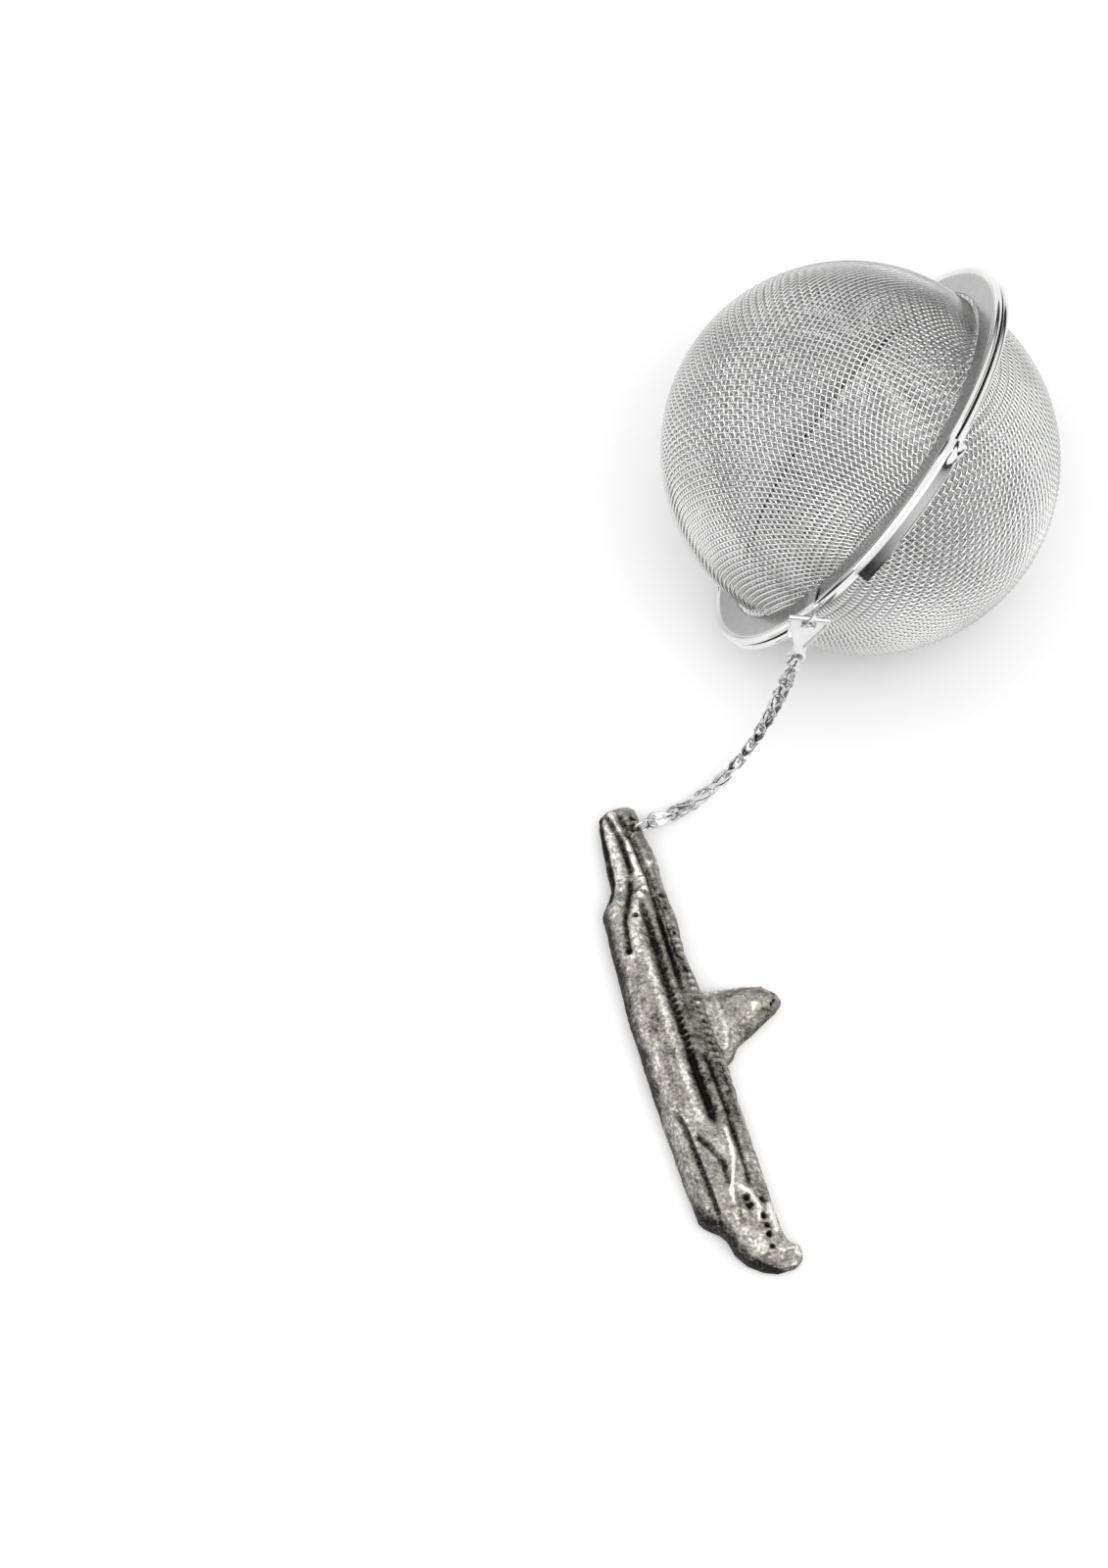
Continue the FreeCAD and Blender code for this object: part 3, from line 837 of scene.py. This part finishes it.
# Relief of the charm's face: each line has a height, a half width, a wear and its (s, d) points,
# with s along the hull from the stern and d towards the deck. Heights and widths are in millimetres.
relief_lines = [
    # stern: two rounded strakes with dark grooves between them
    (-0.35, 0.28, -0.40, [(0.8, -0.5), (4.5, -0.35), (11.0, -0.15), (16.0, -0.45), (22.0, -0.75)]),
    (0.30, 0.38, 0.42, [(1.2, -1.3), (4.2, -1.25)]),
    (0.34, 0.42, 0.50, [(5.2, -0.75), (8.0, -0.85), (10.4, -0.9)]),
    (-0.40, 0.26, -0.45, [(1.0, -1.9), (5.0, -1.5), (9.8, -1.75)]),
    (0.25, 0.60, 0.28, [(1.5, -2.4), (6.0, -2.6), (12.0, -3.4)]),
    (-0.30, 0.30, -0.50, [(0.6, -2.5), (4.0, -3.2), (10.0, -4.1), (12.6, -5.3)]),
    # saddle: a diagonal rib with a dark groove behind it
    (0.35, 0.40, 0.50, [(10.6, -0.6), (12.2, -1.0), (13.0, -1.9)]),
    (-0.38, 0.30, -0.50, [(10.2, -2.0), (12.4, -2.9), (14.6, -4.1), (15.6, -4.6), (19.3, -5.3)]),
    (0.22, 0.50, 0.22, [(13.2, -2.2), (15.4, -3.2), (20.0, -4.4)]),
    # upper dark channel with its limber holes, and the deck strake above it
    (-0.42, 0.42, -0.42, [(13.5, -1.9), (20.0, -2.2), (27.0, -2.6), (36.0, -2.9), (43.0, -2.9)]),
    (-0.36, 0.34, -0.38, [(16.0, -0.6), (26.0, -1.0)]),
    (0.14, 0.35, 0.02, [(18.0, -1.4), (28.0, -1.7), (36.0, -2.0)]),
    (-0.30, 0.50, -0.34, [(33.5, -3.0), (38.0, -3.1), (42.5, -3.2)]),
    (-0.34, 0.30, -0.40, [(34.5, -1.2), (40.0, -1.1), (49.8, -1.5), (51.6, -1.9)]),
    # bright shoulder of the lower hull and its long faint hollow
    (0.22, 0.36, 0.26, [(19.5, -3.4), (30.0, -4.1), (43.0, -4.5)]),
    (-0.12, 0.35, -0.14, [(29.0, -5.6), (40.0, -5.9)]),
    # bow: a long dark keel groove, a fold above it and a bright wavy ridge
    (-0.40, 0.30, -0.46, [(40.2, -6.9), (42.0, -6.5), (49.0, -6.4), (54.5, -6.4)]),
    (-0.34, 0.30, -0.40, [(43.8, -5.6), (46.0, -4.5), (48.0, -3.7), (50.8, -4.1)]),
    (0.32, 0.24, 0.60, [(43.6, -2.1), (47.2, -2.3), (49.2, -3.0), (51.2, -3.9), (53.2, -4.3)]),
    (0.22, 0.30, 0.42, [(51.2, -3.2), (52.2, -2.2), (54.4, -1.6), (56.0, -2.3)]),
    (0.25, 0.25, 0.50, [(54.0, -0.5), (57.4, -0.65)]),
    # deck edge
    (-0.22, 0.22, -0.28, [(5.0, 0.15), (12.0, 0.35), (22.0, -0.1)]),
    (-0.16, 0.14, -0.30, [(35.6, 0.25), (39.4, 0.1), (39.5, -0.5)]),
    # tower: bright aft edge, raised face and base fillet
    (0.26, 0.24, 0.62, [(26.5, 2.4), (26.6, 6.6), (27.5, 8.2)]),
    (-0.20, 0.25, -0.30, [(27.3, 7.6), (27.2, 4.6)]),
    (-0.16, 0.40, -0.22, [(33.0, 4.2), (31.4, 7.0), (30.5, 8.4)]),
    (0.16, 0.35, 0.16, [(27.4, 2.4), (31.0, 2.4), (34.0, 1.8)]),
]
# Small pits: s, d, depth and radius, in millimetres.
relief_pits = [(12.6, -1.25, 0.6, 0.32), (15.3, -3.1, 0.5, 0.3), (13.3, 0.9, 0.45, 0.34),
               (15.1, 0.7, 0.4, 0.26), (18.3, 0.6, 0.3, 0.24), (21.9, 0.3, 0.35, 0.26),
               (23.0, 0.3, 0.35, 0.26), (30.3, 0.2, 0.35, 0.24), (33.1, 0.0, 0.35, 0.24),
               (34.1, 0.0, 0.3, 0.22), (2.6, 0.9, 0.6, 0.34), (52.9, -2.7, 0.4, 0.4),
               (54.0, -2.65, 0.4, 0.4), (53.5, -0.9, 0.3, 0.42), (55.4, -1.5, 0.7, 0.32),
               (56.6, -1.45, 0.6, 0.26), (57.7, -1.6, 0.7, 0.28), (59.1, -1.7, 0.6, 0.25),
               (29.6, 8.9, 0.7, 0.32), (30.1, 8.4, 0.4, 0.26), (28.6, 9.0, 0.35, 0.25),
               (19.2, -5.3, 0.3, 0.35)]
# Small raised beads: s, d, height and radius.
relief_beads = [(1.6, -1.2, 0.25, 0.4), (3.6, -1.3, 0.22, 0.35), (7.7, -0.95, 0.2, 0.4),
                (8.9, 0.7, 0.2, 0.3), (29.5, 6.4, 0.2, 0.4), (26.3, 1.7, 0.3, 0.45),
                (19.9, -5.2, 0.2, 0.3), (60.4, 0.9, 0.2, 0.3), (61.0, 0.2, 0.2, 0.35),
                (59.6, 1.2, 0.15, 0.3)]


limber_pitch = 0.82
deck_slot_pitch = 0.95


def charm_relief(s, d):
    """Height and wear of the charm's face at (s, d) points."""
    height = np.zeros(len(s))
    wear_and_shade = np.zeros(len(s))
    for rise, half, shade, line in relief_lines:
        away, share = near_line(s, d, line)
        ends = smoothstep(0.0, 0.06, share) * (1 - smoothstep(0.94, 1.0, share))
        bell = np.exp(-(away / half) ** 2) * (0.35 + 0.65 * ends)
        height += rise * bell
        wear_and_shade += shade * bell
    for at_s, at_d, depth, radius in relief_pits:
        bell = np.exp(-(((s - at_s) ** 2 + (d - at_d) ** 2) / radius ** 2) ** 1.4)
        height -= depth * bell
        wear_and_shade -= 0.75 * bell
    for at_s, at_d, rise, radius in relief_beads:
        bell = np.exp(-((s - at_s) ** 2 + (d - at_d) ** 2) / radius ** 2)
        height += rise * bell
        wear_and_shade += 0.45 * bell
    # rows of limber holes in the upper channel and slots along the deck edge
    row_low = -2.35 - 0.05 * (s - 27)
    ticks = np.sin(s * 2 * math.pi / limber_pitch) * np.exp(-((d - row_low) / 0.28) ** 2)
    ticks *= smoothstep(25, 27, s) * (1 - smoothstep(34.5, 36, s))
    deck_row = np.interp(s, (12, 27, 34, 50), (0.6, 0.3, 0.1, -0.2))
    slots = np.sin(s * 2 * math.pi / deck_slot_pitch + 0.6) * np.exp(-((d - deck_row) / 0.42) ** 2)
    aft = smoothstep(16, 18, s) * (1 - smoothstep(35, 37, s))
    forward = smoothstep(40, 42, s) * (1 - smoothstep(50, 52, s))
    slots *= aft + 0.35 * forward
    channel = smoothstep(15, 20, s) * (1 - smoothstep(43, 46, s))
    channel *= smoothstep(-3.6, -2.9, d) * (1 - smoothstep(-0.1, 0.5, d))
    height += 0.16 * ticks + 0.15 * slots
    wear_and_shade -= 0.16 * channel
    wear_and_shade += 0.26 * ticks + 0.24 * slots
    return height, wear_and_shade


def lumps(points, size, depth):
    """Cast-metal unevenness from smooth noise at one size."""
    return np.array([noise.noise(Vector(p) / size) for p in points]) * depth


def charm_casting():
    """Points, normals and faces of the plain casting: hull and tower as one, with the notched lug."""
    hull, tower = scratch_object(charm_hull()), scratch_object(charm_tower())
    ring_way = charm.back(charm_eye + unit(ring_end - charm_eye)) - charm.back(charm_eye)
    ring_way = unit(ring_way[:2])
    near, far = np.array(charm_hole) - ring_way * 0.3, np.array(charm_hole) + ring_way * 3.2
    below, above = -1, 9
    cutters = [upright(charm_hole, charm_hole_radius, below, above),
               slot_cutter(near, far, notch_half, lug_web[1], above),
               slot_cutter(near, far, notch_half, below, lug_web[0])]
    union = hull.modifiers.new("tower", "BOOLEAN")
    union.operation, union.object, union.solver = "UNION", tower, "EXACT"
    remesh = hull.modifiers.new("cast", "REMESH")
    remesh.mode, remesh.voxel_size = "VOXEL", charm_voxel
    smooth = hull.modifiers.new("soften", "SMOOTH")
    smooth.factor, smooth.iterations = 0.5, 6
    for tool in cutters:
        cut = hull.modifiers.new("cut", "BOOLEAN")
        cut.operation, cut.object, cut.solver = "DIFFERENCE", tool, "EXACT"
    cast = modified(hull)
    for scrap in [hull, tower, *cutters]:
        bpy.data.objects.remove(scrap)
    return cast


def charm_shade(s, d, points, normals, uneven, wear_and_shade):
    """How bright the pewter is: worn bright on crests, with dark painted shade on its sides and along the
    keel.
    """
    # painted shade: the sides of the casting darker than its face
    side_painted_shade = -0.22 * (1 - smoothstep(0.0, 0.5, normals[:, 2])) * smoothstep(0.0, 0.3, normals[:, 2] + 1.1)
    crest = 0.5 + 0.9 * uneven + lumps(points, 0.27, 0.2)
    # painted shade along the keel edge, left out on one stretch of it
    keel_painted_shade = 1 - smoothstep(0.25, 0.9, d - np.interp(s, *zip(*keel_line)))
    keel_unshaded_stretch = smoothstep(35, 41, s) * (1 - smoothstep(51, 53, s))
    return crest + 0.85 * wear_and_shade + side_painted_shade - 0.3 * keel_painted_shade * (1 - keel_unshaded_stretch)


def submarine():
    """The pewter charm: its casting, with the relief and cast unevenness pushed along the normals."""
    points, normals, faces = charm_casting()
    s, d, z = points.T
    height, wear_and_shade = charm_relief(s, d)
    facing = smoothstep(0.15, 0.6, normals[:, 2]) * smoothstep(0.6, 1.4, z)
    low = smoothstep(0.02, 0.35, z)
    uneven = lumps(points, 1.9, 0.11) + lumps(points, 0.7, 0.07) + lumps(points, 0.33, 0.03)
    clear_of_ring = smoothstep(0.85, 1.3, np.hypot(s - charm_hole[0], d - charm_hole[1]))
    push = (height * facing + uneven * low) * clear_of_ring
    points = points + normals * push[:, None]
    points[:, 2] = np.clip(points[:, 2], 0.0, charm_thickness)
    piece = mesh_piece("submarine_casting", charm.out(points), faces, pewter_metal,
                       "submarine_charm", "pewter", "submarine_charm")
    # worn tone of the relief with painted shade added, for the pewter's colour
    shade = charm_shade(s, d, points, normals, uneven, wear_and_shade * facing)
    point_layer(piece, "wear_and_shade", np.clip(shade, 0, 1))


# ---------------------------------------------------------------- the infuser

upper_side, lower_side = 1, -1
woven_bowl("upper_mesh", Bowl(upper_bowl_radius, upper_wall), weave_angle=90.0, pull=1.0,
           side=upper_side, body="upper_half", node="upper_mesh_bowl")
woven_bowl("lower_mesh", Bowl(lower_bowl_radius, lower_wall), weave_angle=62.0, pull=0.5,
           side=lower_side, body="lower_half", node="lower_mesh_bowl")
rim("upper_rim", upper_bowl_radius, upper_side, False, "upper_half", "upper_rim_flange")
rim("lower_rim", lower_bowl_radius, lower_side, True, "lower_half", "lower_rim_flange")
lip("lock_lip_front", 0.0)
lip("lock_lip_back", 180.0)
strap()
plate()
chain()
charm_ring()
submarine()


# ---------------------------------------------------------------- floor, light and camera

# metres from here on
floor_half = 0.9
floor_height = -0.0002


def floor():
    """White table top, a hair below the lowest points so that they don't share its plane."""
    mesh = bpy.data.meshes.new("floor")
    corners = [(-1, -1), (1, -1), (1, 1), (-1, 1)]
    mesh.from_pydata([(x * floor_half, y * floor_half, floor_height) for x, y in corners], [], [(0, 1, 2, 3)])
    material, shader, node, link = new_material("studio_floor")
    shader.inputs["Roughness"].default_value = 0.9
    shader.inputs["Specular IOR Level"].default_value = 0.1
    where = node("ShaderNodeTexCoord")
    cloud = node("ShaderNodeTexNoise", Scale=3.0, Detail=2.0)
    link(where.outputs["Object"], cloud.inputs["Vector"])
    tone = ramp(node, [(0.3, 0.9), (0.7, 0.93)])
    link(cloud.outputs["Fac"], tone.inputs["Fac"])
    link(tone.outputs["Color"], shader.inputs["Base Color"])
    mesh.materials.append(material)
    made = bpy.data.objects.new("floor", mesh)
    bpy.context.scene.collection.objects.link(made)


light_distance = 0.9


def soft_light(name, direction, size, power):
    """Rectangular area light that looks at the object from a direction."""
    data = bpy.data.lights.new(name, "AREA")
    data.shape, data.size, data.size_y, data.energy = "RECTANGLE", size[0], size[1], power
    lamp = bpy.data.objects.new(name, data)
    bpy.context.scene.collection.objects.link(lamp)
    way = Vector(direction).normalized()
    lamp.location = Vector((0.0, 0.0, 0.02)) + way * light_distance
    lamp.rotation_mode = "QUATERNION"
    lamp.rotation_quaternion = way.to_track_quat("Z", "Y")


def studio():
    """A dome that is dark near the horizon and white overhead, with three soft lights."""
    world = bpy.data.worlds.new("studio")
    bpy.context.scene.world = world
    world.use_nodes = True
    tree = world.node_tree
    way = tree.nodes.new("ShaderNodeTexCoord")
    split = tree.nodes.new("ShaderNodeSeparateXYZ")
    dome = ramp(tree.nodes.new, [(0.2, (0.035, 0.035, 0.037)), (0.46, (1.0, 1.0, 1.0))])
    tree.links.new(way.outputs["Generated"], split.inputs["Vector"])
    tree.links.new(split.outputs["Z"], dome.inputs["Fac"])
    tree.links.new(dome.outputs["Color"], tree.nodes["Background"].inputs["Color"])
    tree.nodes["Background"].inputs["Strength"].default_value = 1.15
    soft_light("key", (0.15, -0.45, 0.9), size=(0.7, 0.5), power=2.6)
    soft_light("left", (-0.9, 0.1, 0.5), size=(0.3, 0.6), power=1.0)
    soft_light("right", (0.9, -0.2, 0.35), size=(0.25, 0.6), power=0.7)
    bpy.context.scene.view_settings.view_transform = "Standard"
    bpy.context.scene.view_settings.look = "None"


def camera():
    """Camera in front of the object, looking down at 63 degrees with a long lens."""
    data = bpy.data.cameras.new("camera")
    elevation = math.radians(63.0)
    distance, seen_height = 1.2, 0.1808
    data.sensor_width = 36.0
    data.lens = data.sensor_width * distance / seen_height
    data.clip_start, data.clip_end = 0.01, 20.0
    made = bpy.data.objects.new("camera", data)
    bpy.context.scene.collection.objects.link(made)
    back = Vector((0.0, -math.cos(elevation), math.sin(elevation)))
    target = Vector((-31.9, 0.67, 5.8)) * MM
    made.location = target + back * distance
    made.rotation_euler = (math.pi / 2 - elevation, 0.0, 0.0)
    bpy.context.scene.camera = made


floor()
studio()
camera()
